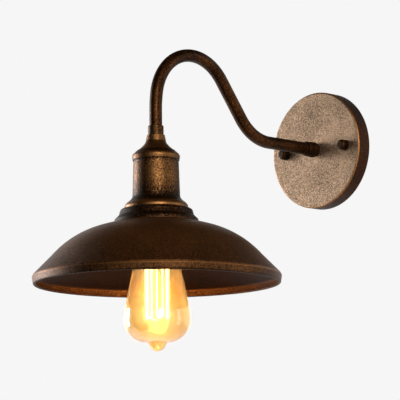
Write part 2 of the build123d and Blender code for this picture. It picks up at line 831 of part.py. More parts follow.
with BuildPart() as terminal_screws:
    shank_start = terminal_x + lead_r + running_fit
    head_start = terminal_x + terminal_size / 2
    with BuildSketch(Plane.YZ.offset(shank_start)):
        with Locations((-reach, terminal_screw_z)):
            Circle(terminal_screw_r)
    extrude(amount=head_start - shank_start)
    with BuildSketch(Plane.YZ.offset(head_start)):
        with Locations((-reach, terminal_screw_z)):
            Circle(terminal_head_r)
    extrude(amount=terminal_head)
    with BuildSketch(Plane.YZ.offset(head_start + terminal_head)):
        with Locations((-reach, terminal_screw_z)):
            Rectangle(2 * terminal_head_r, terminal_head_r / 4)
    extrude(amount=-terminal_head / 2, mode=Mode.SUBTRACT)
    mirror(about=Plane.YZ)
keep(terminal_screws, "terminal_screws")

# ---------------------------------------------------------------- shade
crown_top_z = cup_bottom_z
crown_foot_z = crown_top_z - crown_height
slope = radians(dome_slope)
hole_r = thread_r + moving_gap
with BuildPart() as shade:
    # spun sheet: flat top, rounded crown, shallow dome that steepens, flared lip, upright rim
    with BuildSketch(lamp_section):
        with BuildLine() as sheet:
            top = Line((hole_r, crown_top_z), (crown_r, crown_top_z))
            shoulder_arc = JernArc(top @ 1, (1, 0), crown_corner_r, -crown_corner_turn)
            side = Line(shoulder_arc @ 1, (crown_bottom_r, crown_foot_z))
            flare_end = (crown_flare_r, crown_foot_z - crown_flare_height)
            Line(side @ 1, flare_end)
            step_end = (crown_step_r, flare_end[1] - crown_step)
            Line(flare_end, step_end)
            straight_drop = (dome_start_r - crown_step_r) * tan(slope)
            dome_start = (dome_start_r, step_end[1] - straight_drop)
            Line(step_end, dome_start)
            dome = JernArc(dome_start, (cos(slope), -sin(slope)), dome_curve_r, -dome_turn)
            lip_end = (shade_r - rim_corner_r / 2, shade_bottom_z + rim_band + rim_corner_r)
            Line(dome @ 1, lip_end)
            corner = Line(lip_end, (shade_r, shade_bottom_z + rim_band))
            rim = Line(corner @ 1, (shade_r - rim_taper, shade_bottom_z + rim_wire_r))
            offset(amount=shade_wall, side=Side.RIGHT)
        make_face()
    revolve(axis=lamp_axis)
    # wire rolled into the lower edge
    with BuildSketch(lamp_section):
        with Locations((shade_r - rim_taper - rim_wire_r, shade_bottom_z + rim_wire_r)):
            Circle(rim_wire_r)
    revolve(axis=lamp_axis)
keep(shade, "shade")

ring_top_z = crown_top_z - shade_wall - face_gap
with BuildPart() as shade_ring:
    with BuildSketch(lamp_section):
        with BuildLine():
            Polyline(
                (thread_r + running_fit, ring_top_z),
                (ring_flange_r, ring_top_z),
                (ring_flange_r, ring_top_z - ring_flange),
                (ring_collar_r, ring_top_z - ring_flange),
                (ring_collar_r, ring_top_z - ring_height),
                (thread_r + running_fit, ring_top_z - ring_height),
                close=True,
            )
        make_face()
        fillet(vertices().group_by(Axis.X)[-1], ring_flange / 4)
        fillet(vertices().sort_by_distance((ring_collar_r, ring_top_z - ring_height))[0], ring_flange / 3)
    revolve(axis=lamp_axis)
    with BuildSketch(Plane.XY.offset(ring_top_z - ring_flange)):
        with Locations((0, -reach)):
            with PolarLocations(ring_collar_r + ring_grip_r / 3, ring_grips):
                Circle(ring_grip_r)
    extrude(amount=ring_flange - ring_height, mode=Mode.SUBTRACT)
keep(shade_ring, "shade_ring")

# ---------------------------------------------------------------- bulb
glass_r = cap_shell_r - cap_shell_wall - seat_fit
glass_top_z = cap_shell_bottom_z + cap_glass_grip
shoulder_x = bulb_r - bulb_shoulder_r
tip_root_z = bulb_widest_z - sqrt(bulb_shoulder_r**2 - (bulb_tip_r - shoulder_x) ** 2)
with BuildPart() as bulb_glass:
    # the outside, then the same outline a wall thickness further in
    for inset, action in ((0, Mode.ADD), (bulb_glass_wall, Mode.SUBTRACT)):
        neck_start = (glass_r - inset, cap_shell_bottom_z)
        neck_end = (bulb_neck_r - inset, cap_shell_bottom_z - bulb_neck_curve)
        cone_end = (bulb_cone_r - inset, bulb_tip_z + bulb_cone_height)
        cone_way = (cone_end[0] - neck_end[0], cone_end[1] - neck_end[1])
        belly_end = (bulb_r - inset, bulb_widest_z)
        tip_start = (bulb_tip_r - inset, tip_root_z + inset)
        tip_end = (0, bulb_tip_z + inset)
        with BuildSketch(lamp_section):
            with BuildLine():
                Line((glass_r - inset, glass_top_z), neck_start)
                Spline(neck_start, neck_end, tangents=((0, -1), cone_way))
                Line(neck_end, cone_end)
                Spline(cone_end, belly_end, tangents=(cone_way, (0, -1)))
                RadiusArc(belly_end, tip_start, bulb_shoulder_r - inset)
                Spline(tip_start, tip_end, tangents=((-bulb_tip_slope, -1), (-1, 0)))
                Polyline(tip_end, (0, glass_top_z), (glass_r - inset, glass_top_z))
            make_face()
        revolve(axis=lamp_axis, mode=action)
keep(bulb_glass, "bulb_glass")

with BuildPart() as bulb_screw_shell:
    lip_z = cap_shell_top_z - cap_shell_wall
    inside_r = cap_shell_r - cap_shell_wall
    flare_z = cap_shell_bottom_z + cap_flare_height
    with BuildSketch(lamp_section):
        with BuildLine():
            Polyline(
                (cap_flare_r, cap_shell_bottom_z),
                (cap_shell_r, flare_z),
                (cap_shell_r, cap_shell_top_z),
                (cap_glass_large_r, cap_shell_top_z),
                (cap_glass_large_r, lip_z),
                (inside_r, lip_z),
                (inside_r, cap_shell_bottom_z),
                close=True,
            )
        make_face()
        fillet(vertices().sort_by_distance((cap_shell_r, cap_shell_top_z))[0], cap_shell_wall)
    revolve(axis=lamp_axis)
keep(bulb_screw_shell, "bulb_screw_shell")

with BuildPart() as bulb_insulator:
    with BuildSketch(lamp_section):
        with BuildLine():
            Polyline(
                (0, lip_z - cap_glass_plug),
                (glass_r, lip_z - cap_glass_plug),
                (glass_r, lip_z),
                (cap_glass_large_r - seat_fit, lip_z),
                (cap_glass_large_r - seat_fit, cap_shell_top_z),
                (cap_glass_small_r, cap_glass_top_z),
                (0, cap_glass_top_z),
                close=True,
            )
        make_face()
    revolve(axis=lamp_axis)
keep(bulb_insulator, "bulb_insulator")

with BuildPart() as bulb_contact:
    with BuildSketch(lamp_section):
        with BuildLine():
            Polyline(
                (0, cap_glass_top_z),
                (cap_contact_r, cap_glass_top_z),
                (cap_contact_r, bulb_contact_z),
                (0, bulb_contact_z),
                close=True,
            )
        make_face()
        fillet(vertices().sort_by_distance((cap_contact_r, bulb_contact_z))[0], cap_contact_round)
    revolve(axis=lamp_axis)
keep(bulb_contact, "bulb_contact")

stem_flare_r = glass_r - bulb_glass_wall - seat_fit
press_top_z = glass_top_z - stem_height
press_bottom_z = press_top_z - press_height
rod_end_z = press_bottom_z - rod_length
with BuildPart() as bulb_stem:
    with BuildSketch(lamp_section):
        with BuildLine():
            Polyline(
                (stem_flare_r, glass_top_z),
                (stem_flare_r, glass_top_z - stem_wall),
                (stem_tube_r, glass_top_z - stem_height / 2),
                (stem_tube_r, press_top_z),
                (0, press_top_z),
                (0, press_top_z + stem_wall),
                (stem_tube_r - stem_wall, press_top_z + stem_wall),
                (stem_tube_r - stem_wall, glass_top_z - stem_height / 2 + stem_wall),
                (stem_flare_r - 2 * stem_wall, glass_top_z),
                close=True,
            )
        make_face()
        fillet(vertices().sort_by_distance((stem_tube_r, glass_top_z - stem_height / 2))[0], stem_flare_r)
    revolve(axis=lamp_axis)
    with BuildSketch(Plane.XY.offset(press_top_z)):
        with Locations((0, -reach)):
            Circle(stem_tube_r)
    with BuildSketch(Plane.XY.offset(press_bottom_z)):
        with Locations((0, -reach)):
            SlotOverall(press_width, press_thickness)
    loft()
    with BuildSketch(Plane.XY.offset(press_bottom_z)):
        with Locations((0, -reach)):
            Circle(rod_r)
    extrude(amount=-rod_length)
    for bead_z in (press_bottom_z - rod_bead_r, rod_end_z + rod_bead_r / 2):
        with Locations((0, -reach, bead_z)):
            Sphere(rod_bead_r)
keep(bulb_stem, "bulb_stem")

# the filament runs up and down round the rod like the bars of a cage
hook_ring_z = (press_bottom_z - rod_bead_r, rod_end_z + rod_bead_r / 2)
bar_angle = 360 / cage_places
bar_gap = 2 * cage_r * sin(radians(bar_angle / 2))
bar_top_z = hook_ring_z[0] - bar_gap / 2 + hook_wire_r + filament_wire_r
bar_bottom_z = hook_ring_z[1] + bar_gap / 2 - hook_wire_r - filament_wire_r


def cage_point(place, height):
    """A point on the filament's cage: place counts the bars, halves lie between two bars."""
    turn = radians(bar_angle * (place + 0.5 - cage_bars / 2))
    apothem = cage_r if place == int(place) else cage_r * cos(radians(bar_angle / 2))
    return (apothem * sin(turn), -reach - apothem * cos(turn), height)


with BuildPart() as filament:
    with BuildLine() as wire:
        for bar in range(cage_bars):
            Line(cage_point(bar, bar_top_z), cage_point(bar, bar_bottom_z))
            end_z = bar_bottom_z if bar % 2 == 0 else bar_top_z
            bulge = -bar_gap / 2 if bar % 2 == 0 else bar_gap / 2
            if bar < cage_bars - 1:
                ThreePointArc(
                    cage_point(bar, end_z),
                    cage_point(bar + 0.5, end_z + bulge),
                    cage_point(bar + 1, end_z),
                )
    with BuildSketch(Plane(origin=cage_point(0, bar_top_z), z_dir=(0, 0, -1))):
        Circle(filament_wire_r)
    sweep(path=wire.wires()[0])
keep(filament, "filament")

with BuildPart() as filament_hooks:
    for bar in range(cage_bars - 1):
        level = hook_ring_z[1] if bar % 2 == 0 else hook_ring_z[0]
        centre = Vector(0, -reach, level)
        out = Vector(cage_point(bar + 0.5, level)) - centre
        root = centre + out.normalized() * rod_bead_r
        with BuildSketch(Plane(origin=root, z_dir=out)):
            Circle(hook_wire_r)
        extrude(amount=out.length - rod_bead_r + hook_overhang)
keep(filament_hooks, "filament_hooks")

with BuildPart() as bulb_lead_ins:
    for bar, sense in ((0, -1), (cage_bars - 1, 1)):
        foot = Vector(sense * press_width / 3, -reach, press_bottom_z)
        head = Vector(cage_point(bar, bar_top_z))
        way = head - foot
        start = foot + way.normalized() * 2 * lead_in_r
        with BuildSketch(Plane(origin=start, z_dir=way)):
            Circle(lead_in_r)
        extrude(amount=way.length - 2 * lead_in_r - filament_wire_r)
keep(bulb_lead_ins, "bulb_lead_ins")

# ---------------------------------------------------------------- leads and terminal block
block_y = -plate_inside + block_depth / 2
block_bottom_z = -block_top - block_height
drop_y = -(plate_nipple_tip - bushing_flange - lead_bend_r)
poles = (-block_pitch, 0, block_pitch)
screw_levels = (-block_top - block_height / 4, -block_top - 3 * block_height / 4)
block_open_y = -plate_inside + block_depth  # the face with the screws looks at the wall
with BuildPart() as terminal_block:
    with BuildSketch(Plane.XZ.offset(plate_inside)):
        with Locations((0, -block_top - block_height / 2)):
            Rectangle(3 * block_pitch, block_height)
    extrude(amount=-block_depth / 2)
    with BuildSketch(Plane.XZ.offset(plate_inside)):
        for pole in poles:
            with Locations((pole, -block_top - block_height / 2)):
                RectangleRounded(block_pitch - block_side, block_height, block_side / 2)
    extrude(amount=-block_depth)
    with BuildSketch(Plane.XY.offset(-block_top)):
        for pole in poles:
            with Locations((pole, block_y)):
                Circle(block_tube_r + seat_fit)
    extrude(amount=-block_height, mode=Mode.SUBTRACT)
    with BuildSketch(Plane.XZ.offset(-block_open_y)):
        for pole in poles:
            with Locations((pole, screw_levels[0]), (pole, screw_levels[1])):
                Circle(block_screw_r + seat_fit)
    extrude(amount=block_depth / 2, mode=Mode.SUBTRACT)
keep(terminal_block, "terminal_block")

with BuildPart() as block_tubes:
    with BuildSketch(Plane.XY.offset(-block_top - block_side / 2)):
        for pole in poles:
            with Locations((pole, block_y)):
                Circle(block_tube_r)
                Circle(block_bore_r, mode=Mode.SUBTRACT)
    extrude(amount=block_side - block_height)
    with BuildSketch(Plane.XZ.offset(-block_open_y)):
        for pole in poles:
            with Locations((pole, screw_levels[0]), (pole, screw_levels[1])):
                Circle(block_screw_r + seat_fit)
    extrude(amount=block_depth / 2, mode=Mode.SUBTRACT)
keep(block_tubes, "block_tubes")

with BuildPart() as block_screws:
    with BuildSketch(Plane.XZ.offset(-block_open_y + block_screw_sink)):
        for pole in poles:
            with Locations((pole, screw_levels[0]), (pole, screw_levels[1])):
                Circle(block_screw_r)
    extrude(amount=block_depth / 2 - block_screw_sink - lead_r - running_fit)
    with BuildSketch(Plane.XZ.offset(-block_open_y + block_screw_sink)):
        for pole in poles:
            with Locations((pole, screw_levels[0]), (pole, screw_levels[1])):
                Rectangle(2 * block_screw_r, block_screw_r / 3)
    extrude(amount=block_screw_r / 2, mode=Mode.SUBTRACT)
keep(block_screws, "block_screws")

lead_side = lead_r + lead_gap / 2
lead_end_z = -block_top - block_height / 2
terminal_floor_z = terminal_top_z - terminal_wire_depth + running_fit
nipple_end_z = cap_top_z - cap_thread_length
for name, sense, pole in (("live_lead", 1, block_pitch), ("neutral_lead", -1, 0)):
    side = sense * lead_side
    with BuildPart() as lead:
        with BuildLine() as plate_route:
            FilletPolyline(
                (pole, block_y, lead_end_z),
                (pole, block_y, -block_top + lead_bend_r),
                (side, drop_y, -lead_drop),
                (side, drop_y, 0),
                (side, -plate_nipple_tip, 0),
                radius=[2 * lead_bend_r, 2 * lead_bend_r, lead_bend_r],
            )
        arm_route = arm_centreline(side, plate_nipple_tip, nipple_end_z)
        with BuildLine() as holder_route:
            FilletPolyline(
                (side, -reach, nipple_end_z),
                (side, -reach, nipple_end_z - lead_bend_r / 2),
                (sense * terminal_x, -reach, terminal_top_z + lead_bend_r / 2),
                (sense * terminal_x, -reach, terminal_floor_z),
                radius=lead_bend_r,
            )
        route = Wire(plate_route.edges() + arm_route.edges() + holder_route.edges())
        with BuildSketch(Plane.XY.offset(lead_end_z)):
            with Locations((pole, block_y)):
                Circle(lead_r)
        sweep(path=route)
    keep(lead, name)
    print(name, "volume over section times length:", lead.part.volume / (pi * lead_r**2 * route.length))

with BuildPart() as earth_lead:
    with BuildLine() as earth_route:
        FilletPolyline(
            (earth_screw_x, lug_barrel_y, lug_mouth_z + earth_lug_length / 3),
            (earth_screw_x, lug_barrel_y, lug_mouth_z - lead_bend_r / 2),
            (-block_pitch, block_y, -block_top + lead_bend_r / 2),
            (-block_pitch, block_y, lead_end_z),
            radius=lead_bend_r,
        )
    with BuildSketch(Plane.XY.offset(lug_mouth_z + earth_lug_length / 3)):
        with Locations((earth_screw_x, lug_barrel_y)):
            Circle(lead_r)
    sweep(path=earth_route.wires()[0])
keep(earth_lead, "earth_lead")

os.makedirs("parts", exist_ok=True)
for piece in pieces:
    export_step(piece, f"parts/{piece.label}.step")
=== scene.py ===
"""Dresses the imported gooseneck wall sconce: its painted, plated, moulded and glass finishes, its
screw threads, the lit filament, and the studio it is seen in.

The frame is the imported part's: the wall is y = 0, the room lies towards -Y, +Z is up. The
lamp's sizes are written in millimetres and turned to metres by MM; the studio's are in metres.
"""

import math

import bmesh
import bpy
from mathutils import Matrix, Vector


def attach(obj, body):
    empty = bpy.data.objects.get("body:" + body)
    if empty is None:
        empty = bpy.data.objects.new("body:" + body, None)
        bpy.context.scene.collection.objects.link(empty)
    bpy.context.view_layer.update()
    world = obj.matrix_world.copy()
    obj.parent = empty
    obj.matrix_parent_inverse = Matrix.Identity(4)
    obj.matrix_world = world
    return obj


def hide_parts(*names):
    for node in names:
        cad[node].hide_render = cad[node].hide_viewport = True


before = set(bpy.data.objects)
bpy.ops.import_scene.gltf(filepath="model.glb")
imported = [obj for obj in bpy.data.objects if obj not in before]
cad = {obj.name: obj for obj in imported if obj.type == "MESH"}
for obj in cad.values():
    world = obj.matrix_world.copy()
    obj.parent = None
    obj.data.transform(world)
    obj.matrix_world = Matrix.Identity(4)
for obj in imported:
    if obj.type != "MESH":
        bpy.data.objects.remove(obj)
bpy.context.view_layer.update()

MM = 0.001
REACH = 244.0  # wall to the lamp's axis
LAMP_AXIS = Vector((0, -REACH, 0))


# ---------------------------------------------------------------- node and colour helpers
def linear(hex_colour):
    """An sRGB hex colour as the linear RGBA that shaders take."""
    channels = [int(hex_colour[i : i + 2], 16) / 255 for i in (1, 3, 5)]
    return [c / 12.92 if c <= 0.04045 else ((c + 0.055) / 1.055) ** 2.4 for c in channels] + [1]


def add_node(tree, kind, settings=(), links=()):
    """Adds one node: settings are its properties or socket values, links feed its sockets."""
    made = tree.nodes.new(kind)
    for name, value in dict(settings).items():
        if isinstance(name, int) or name in made.inputs:
            made.inputs[name].default_value = value
        else:
            setattr(made, name, value)
    for name, source in dict(links).items():
        tree.links.new(source, made.inputs[name])
    return made


def per_mm(size):
    """The scale of a texture whose features are `size` millimetres across."""
    return 1 / (size * MM)


def new_material(name):
    material = bpy.data.materials.new(name)
    material.use_nodes = True
    material.node_tree.nodes.clear()
    return material, material.node_tree


def finish_material(tree, shader):
    add_node(tree, "ShaderNodeOutputMaterial", links={"Surface": shader})


def dress(material, *names):
    """Gives CAD nodes their finish."""
    for name in names:
        cad[name].data.materials.clear()
        cad[name].data.materials.append(material)


# ---------------------------------------------------------------- aged bronze paint
# Textured black-brown paint with bronze powder rubbed over it by hand: the bronze stays on the
# grain's tops and on edges and bands, so highlights sparkle and hollows stay nearly black.
UNDERCOAT = "#150b06"
BRONZE = "#6c4928"
PAD_STROKE = 30.0  # mm across, the uneven strokes that the rubbing pad left


def marked(tree, place, axis, marks):
    """A colour ramp along one axis; marks are (millimetres, grey level or hex colour) pairs."""
    along = add_node(tree, "ShaderNodeSeparateXYZ", links={0: place}).outputs[axis]
    low, high = marks[0][0], marks[-1][0]
    along = add_node(tree, "ShaderNodeMapRange", {"From Min": low * MM, "From Max": high * MM},
                     {"Value": along}).outputs["Result"]
    ramp = add_node(tree, "ShaderNodeValToRGB", links={"Fac": along})
    stops = ramp.color_ramp.elements
    while len(stops) < len(marks):
        stops.new(0.5)
    for stop, (height, level) in zip(stops, marks):
        stop.position = (height - low) / (high - low)
        stop.color = linear(level) if isinstance(level, str) else (level, level, level, 1)
    return ramp.outputs["Color"]


def aged_bronze(name, grain_mm, relief_mm, rub, marks=(), axis="Z", dark=UNDERCOAT, bright=BRONZE,
                roughness=0.4, spread=1.0, patches=0.08, tones=(), bare_under=False):
    """Dark textured paint with bronze powder rubbed over it.

    rub is how much bronze shows, 0 to 1. marks add (mm along the axis, rub) on a banded piece,
    and tones give the bronze another colour along it. spread is how strongly the grain breaks
    the bronze up, and patches how unevenly the pad left it. bare_under leaves surfaces that face
    down, such as a shade's inside, nearly unrubbed.
    """
    material, tree = new_material(name)
    place = add_node(tree, "ShaderNodeTexCoord").outputs["Object"]
    grain = add_node(tree, "ShaderNodeTexNoise",
                     {"Scale": per_mm(grain_mm), "Detail": 3.0, "Roughness": 0.6},
                     {"Vector": place}).outputs["Fac"]
    strokes = add_node(tree, "ShaderNodeTexNoise", {"Scale": per_mm(PAD_STROKE), "Detail": 2.0},
                       {"Vector": place}).outputs["Fac"]
    uneven = add_node(tree, "ShaderNodeMapRange",
                      {"From Min": 0.3, "From Max": 0.7, "To Min": rub - patches,
                       "To Max": rub + patches},
                      {"Value": strokes}).outputs["Result"]
    if marks:
        uneven = add_node(tree, "ShaderNodeMath", {"operation": "ADD"},
                          {0: uneven, 1: marked(tree, place, axis, marks)}).outputs[0]
    broken = add_node(tree, "ShaderNodeMapRange",
                      {"From Min": 0.28, "From Max": 0.72,
                       "To Min": -0.5 * spread, "To Max": 0.5 * spread},
                      {"Value": grain}).outputs["Result"]
    show = add_node(tree, "ShaderNodeMath", {"operation": "ADD", "use_clamp": True},
                    {0: uneven, 1: broken}).outputs[0]
    if bare_under:
        facing = add_node(tree, "ShaderNodeSeparateXYZ",
                          links={0: add_node(tree, "ShaderNodeTexCoord").outputs["Normal"]})
        rubbed = add_node(tree, "ShaderNodeMapRange",
                          {"From Min": -0.3, "From Max": -0.1, "To Min": 0.1},
                          {"Value": facing.outputs["Z"]})
        show = add_node(tree, "ShaderNodeMath", {"operation": "MULTIPLY"},
                        {0: show, 1: rubbed.outputs["Result"]}).outputs[0]
    bronze = {7: marked(tree, place, axis, tones)} if tones else {}
    # sockets 6 and 7 are the colour mix's A and B, and output 2 its colour
    colour = add_node(tree, "ShaderNodeMix",
                      {"data_type": "RGBA", 6: linear(dark), 7: linear(bright)},
                      {"Factor": show, **bronze}).outputs[2]
    # rubbed bronze is a little smoother than bare paint
    gloss = add_node(tree, "ShaderNodeMapRange",
                     {"To Min": roughness + 0.08, "To Max": roughness - 0.04},
                     {"Value": show}).outputs["Result"]
    relief = add_node(tree, "ShaderNodeBump", {"Strength": 1.0, "Distance": relief_mm * MM},
                      {"Height": grain}).outputs["Normal"]
    shader = add_node(tree, "ShaderNodeBsdfPrincipled", {"Metallic": 1.0},
                      {"Base Color": colour, "Roughness": gloss, "Normal": relief})
    finish_material(tree, shader.outputs[0])
    return material


# A real plating's or moulding's grain is too fine to show, so it is drawn 0.4 mm coarse.
FINISH_GRAIN = 0.4
FINISH_RELIEF = 0.05  # mm
FINISH_BUMP = 0.1
VARIATION = 0.06


def plain_finish(name, colour, metallic, roughness, **sockets):
    """A plated, moulded or drawn finish: one colour with slight grain in tone and gloss."""
    material, tree = new_material(name)
    place = add_node(tree, "ShaderNodeTexCoord").outputs["Object"]
    grain = add_node(tree, "ShaderNodeTexNoise", {"Scale": per_mm(FINISH_GRAIN), "Detail": 2.0},
                     {"Vector": place}).outputs["Fac"]
    value = add_node(tree, "ShaderNodeMapRange",
                     {"To Min": 1 - VARIATION * 2, "To Max": 1 + VARIATION * 2}, {"Value": grain})
    tone = add_node(tree, "ShaderNodeHueSaturation", {"Color": linear(colour)},
                    {"Value": value.outputs["Result"]})
    rough = add_node(tree, "ShaderNodeMapRange",
                     {"To Min": roughness - VARIATION, "To Max": roughness + VARIATION},
                     {"Value": grain})
    relief = add_node(tree, "ShaderNodeBump", {"Strength": FINISH_BUMP, "Distance": FINISH_RELIEF * MM},
                      {"Height": grain})
    shader = add_node(tree, "ShaderNodeBsdfPrincipled", {"Metallic": metallic, **sockets},
                      {"Base Color": tone.outputs["Color"], "Roughness": rough.outputs["Result"],
                       "Normal": relief.outputs["Normal"]})
    finish_material(tree, shader.outputs[0])
    return material


# The cup is rubbed hardest, so it gleams on its bands and sparkles on its coarse grain. Rub at
# rising heights, in millimetres from the arm's level: foot band, dark body foot, grained body,
# groove, shoulder band, cone with its fine bead, neck band.
cup_marks = [(-84, 1.0), (-77.4, 0.95), (-75.8, 0.12), (-70, 0.02), (-64, 0.26), (-54, 0.5),
             (-38, 0.42), (-35.2, 0.12), (-34.4, 0.7), (-29.8, 0.7), (-28.2, 0.2), (-26.2, 0.1),
             (-25.7, 0.75), (-25.0, 0.75), (-21, 0.85), (-16.9, 0.45), (-16.2, 0.75), (-10, 0.75)]
dress(aged_bronze("rubbed_bronze_paint_cup", 1.5, 0.30, 0.0, cup_marks, roughness=0.4),
      "lamp_cup")

# The shade is a satin dark brown, with bright bronze on its rolled rim and hardly any inside:
# rolled lip, dark crease, grained band, bronze edge, then the half-rubbed dome and dark crown.
shade_marks = [(-156.5, 0.85), (-155.0, 0.7), (-154.4, 0.1), (-153.6, 0.32), (-149.6, 0.35),
               (-149.0, 0.8), (-148.2, 0.7), (-147.0, 0.34), (-120, 0.5), (-98, 0.45), (-95, -0.1),
               (-93, -0.1), (-82, -0.1)]
dress(aged_bronze("satin_bronze_paint_shade", 1.7, 0.20, 0.0, shade_marks, bright="#7a502c",
                  roughness=0.46, spread=0.8, bare_under=True), "shade")

# The arm is dark, with a faint brown bloom in patches where the pad passed.
dress(aged_bronze("rubbed_bronze_paint_arm", 1.3, 0.12, 0.13, bright="#784822", spread=0.6,
                  roughness=0.38), "gooseneck_arm")

# The plate's face is rubbed pale and speckled, its rounded edge shows warm bronze, its side stays
# dark. Marks and tones run from the face back to the wall.
plate_marks = [(-16.1, 0.58), (-15.9, 0.58), (-15.5, 0.75), (-14.9, 0.7), (-14.3, 0.3), (0, 0.3)]
plate_tones = [(-16.1, "#a5896f"), (-15.9, "#a5896f"), (-15.6, "#9a6638"), (-14.0, "#4e280e"),
               (0, "#4e280e")]
dress(aged_bronze("speckled_bronze_paint_plate", 1.2, 0.26, 0.0, plate_marks, "Y", dark="#1c110b",
                  roughness=0.5, spread=1.0, patches=0.15, tones=plate_tones), "wall_plate")

# The fittings are too small for the pad and keep their dark paint; the ferrule catches more of it.
dress(aged_bronze("dark_bronze_paint_fittings", 1.2, 0.08, 0.12, spread=0.5, roughness=0.4),
      "arm_collar", "left_cap_nut", "right_cap_nut", "left_nut_washer", "right_nut_washer")
dress(aged_bronze("rubbed_bronze_paint_ferrule", 1.3, 0.12, 0.22, spread=0.7, roughness=0.42),
      "arm_ferrule")


# ---------------------------------------------------------------- plated, moulded and drawn finishes
# zinc plating: cool grey with a soft mirror, on the fixings hidden behind the plate and in the cup
zinc = plain_finish("zinc_plated_steel", "#b9bcc0", 1.0, 0.32)
dress(zinc, "fixing_strap", "plate_studs", "stud_lock_nuts", "arm_nipple", "arm_washer",
      "arm_locknut", "cup_nipple", "cup_washer", "cup_locknut", "holder_locknut", "grub_screw",
      "block_screws")
# brass, mostly stamped: warm yellow and glossy
brass = plain_finish("stamped_brass", "#c9a050", 1.0, 0.28)
dress(brass, "socket_screw_shell", "centre_contact", "neutral_rivet", "live_terminal",
      "neutral_terminal", "terminal_screws", "block_tubes", "earth_screw")
# nickel over brass: a pale warm metal, the glossiest of the platings
nickel = plain_finish("nickel_plated_brass", "#c9bfa8", 1.0, 0.25)
# a dip of tin over copper: soft silver
dress(plain_finish("tinned_copper", "#c4bfb6", 1.0, 0.35), "earth_lug")
# phenolic moulding: near black and satin, with a brighter sheen seen edge-on
phenolic = plain_finish("moulded_black_phenolic", "#0e0d0c", 0.0, 0.38, IOR=1.6)
dress(phenolic, "holder_cap", "holder_shell", "shade_ring")
# pressed steatite: matt, off-white, like unglazed china
dress(plain_finish("pressed_steatite", "#e3ddcf", 0.0, 0.6), "terminal_insert")
# the cap's black glass: dark and wet-looking
dress(plain_finish("cap_glass_black", "#08080a", 0.0, 0.12, IOR=1.52), "bulb_insulator")
# solder that cooled in a dome: dull silver
dress(plain_finish("domed_solder", "#a8a8ab", 1.0, 0.35), "bulb_contact")
# drawn nickel wire: grey and satin
dress(plain_finish("drawn_nickel_wire", "#9c9a94", 1.0, 0.35), "bulb_lead_ins", "filament_hooks")
# natural nylon: milky white, with a low sheen
dress(plain_finish("moulded_natural_nylon", "#dcd9cc", 0.0, 0.5), "terminal_block", "lead_bushing")
# PVC sleeves: plain colours with a low sheen
dress(plain_finish("black_pvc_sleeve", "#0c0c0c", 0.0, 0.45), "live_lead")
dress(plain_finish("white_pvc_sleeve", "#dcdcd6", 0.0, 0.45), "neutral_lead")
dress(plain_finish("green_pvc_sleeve", "#1f6b2c", 0.0, 0.45), "earth_lead")


# ---------------------------------------------------------------- the bulb
def glass(name, colour, roughness, dust=0.0, coat=0.0):
    """Blown glass; dust is the share of its coating that scatters light into a soft glow."""
    material, tree = new_material(name)
    sockets = {"Base Color": linear(colour), "IOR": 1.52, "Transmission Weight": 1.0}
    body = add_node(tree, "ShaderNodeBsdfPrincipled",
                    {**sockets, "Roughness": roughness, "Coat Weight": coat,
                     "Coat Roughness": 0.02})
    if dust:
        place = add_node(tree, "ShaderNodeTexCoord").outputs["Object"]
        specks = add_node(tree, "ShaderNodeTexNoise", {"Scale": per_mm(2.0), "Detail": 4.0},
                          {"Vector": place}).outputs["Fac"]
        share = add_node(tree, "ShaderNodeMapRange",
                         {"From Min": 0.35, "From Max": 0.65,
                          "To Min": dust * 0.7, "To Max": dust * 1.3}, {"Value": specks})
        dusty = add_node(tree, "ShaderNodeBsdfPrincipled", {**sockets, "Roughness": 0.2})
        body = add_node(tree, "ShaderNodeMixShader", links={
            0: share.outputs["Result"], 1: body.outputs[0], 2: dusty.outputs[0]})
    finish_material(tree, body.outputs[0])
    return material


# blown glass with an amber coat: honey-coloured, glossy, and hazy round the glow
dress(glass("blown_amber_glass", "#e4c886", 0.05, dust=0.42, coat=1.0), "bulb_glass")
# the stem's clear glass: seen only by its edges
dress(glass("clear_stem_glass", "#f4f4f0", 0.02), "bulb_stem")
# the wire at work: a warm white that outshines the glass
material, tree = new_material("glowing_carbon_filament")
glow = add_node(tree, "ShaderNodeEmission", {"Color": linear("#ffe6b8"), "Strength": 110.0})
finish_material(tree, glow.outputs[0])
dress(material, "filament")
cad["bulb_glass"].visible_shadow = False
cad["filament"].visible_shadow = False


# ---------------------------------------------------------------- screw threads
# Each thread's pitch and depth, in millimetres. The bulb, the shade ring and the cap nuts turn on
# the first three, and the nipples are fixed.
LAMP_CAP_THREAD = (3.629, 0.7)
HOLDER_THREAD = (2.5, 0.6)
STUD_THREAD = (0.7, 0.3)
NIPPLE_THREAD = (1.0, 0.5)
SEGMENTS = 64  # round a thread
LEVELS = 10  # rings in each pitch
SHARP_EDGE = math.radians(40)


def threaded_ring(built, place, radius, height, pitch, dip):
    """One ring of vertices; dip is how far the thread's wave draws this level in."""
    ring = []
    for turn in range(SEGMENTS):
        angle = 2 * math.pi * turn / SEGMENTS
        wave = 0.5 - 0.5 * math.cos(2 * math.pi * height / pitch - angle)
        wall = radius - dip * wave
        ring.append(built.verts.new(place @ Vector((
            wall * math.cos(angle) * MM, wall * math.sin(angle) * MM, height * MM))))
    return ring


